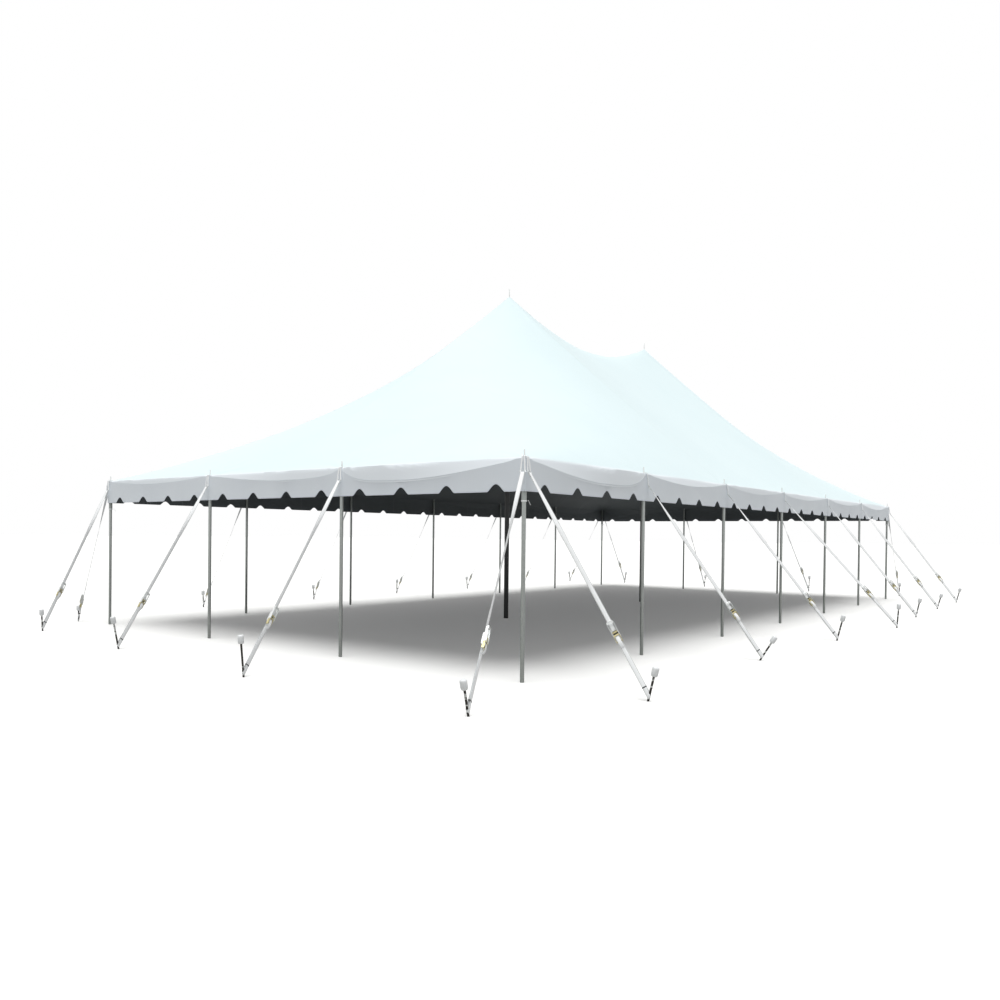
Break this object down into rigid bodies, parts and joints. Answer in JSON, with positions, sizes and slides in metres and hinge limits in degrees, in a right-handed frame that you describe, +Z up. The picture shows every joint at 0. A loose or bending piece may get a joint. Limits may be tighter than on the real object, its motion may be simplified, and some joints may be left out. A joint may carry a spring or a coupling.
{
  "type": "marquee tent",
  "caption": "Open-sided pole tent with a peaked white fabric canopy, a scalloped valance, side and centre poles, and ratchet straps to capped ground stakes.",
  "frame": {"origin": "on the ground at the middle of the whole tent with its stakes", "axes": "+X along the long side, +Y across the short side from front to back, +Z up"},
  "size_m": [22.2948, 13.2358, 6.775],
  "materials": {
    "blockout_vinyl": "white coated fabric, satin outside, with a charcoal inner face",
    "galvanised_steel": "hot-dip galvanised tube, dull grey",
    "black_steel": "black powder coat",
    "webbing": "white woven polyester webbing"
  },
  "bodies": {
    "root": {"side_pole_front_0": "galvanised_steel", "side_pole_back_0": "galvanised_steel", "side_pole_front_1": "galvanised_steel", "side_pole_back_1": "galvanised_steel", "side_pole_front_2": "galvanised_steel", "side_pole_back_2": "galvanised_steel", "side_pole_front_3": "galvanised_steel", "side_pole_back_3": "galvanised_steel", "side_pole_front_4": "galvanised_steel", "side_pole_back_4": "galvanised_steel", "side_pole_front_5": "galvanised_steel", "side_pole_back_5": "galvanised_steel", "side_pole_front_6": "galvanised_steel", "side_pole_back_6": "galvanised_steel", "side_pole_left_1": "galvanised_steel", "side_pole_right_1": "galvanised_steel", "side_pole_left_2": "galvanised_steel", "side_pole_right_2": "galvanised_steel", "centre_pole_left": "black_steel", "centre_pole_right": "black_steel", "roof_front": "blockout_vinyl", "roof_back": "blockout_vinyl", "roof_left": "blockout_vinyl", "roof_right": "blockout_vinyl", "valance_front": "blockout_vinyl", "valance_back": "blockout_vinyl", "valance_left": "blockout_vinyl", "valance_right": "blockout_vinyl", "guy_front_0": "webbing", "guy_front_1": "webbing", "guy_front_2": "webbing", "guy_front_3": "webbing", "guy_front_4": "webbing", "guy_front_5": "webbing", "guy_front_6": "webbing", "guy_back_0": "webbing", "guy_back_1": "webbing", "guy_back_2": "webbing", "guy_back_3": "webbing", "guy_back_4": "webbing", "guy_back_5": "webbing", "guy_back_6": "webbing", "guy_left_0": "webbing", "guy_left_1": "webbing", "guy_left_2": "webbing", "guy_left_3": "webbing", "guy_right_0": "webbing", "guy_right_1": "webbing", "guy_right_2": "webbing", "guy_right_3": "webbing"}
  },
  "joints": []
}
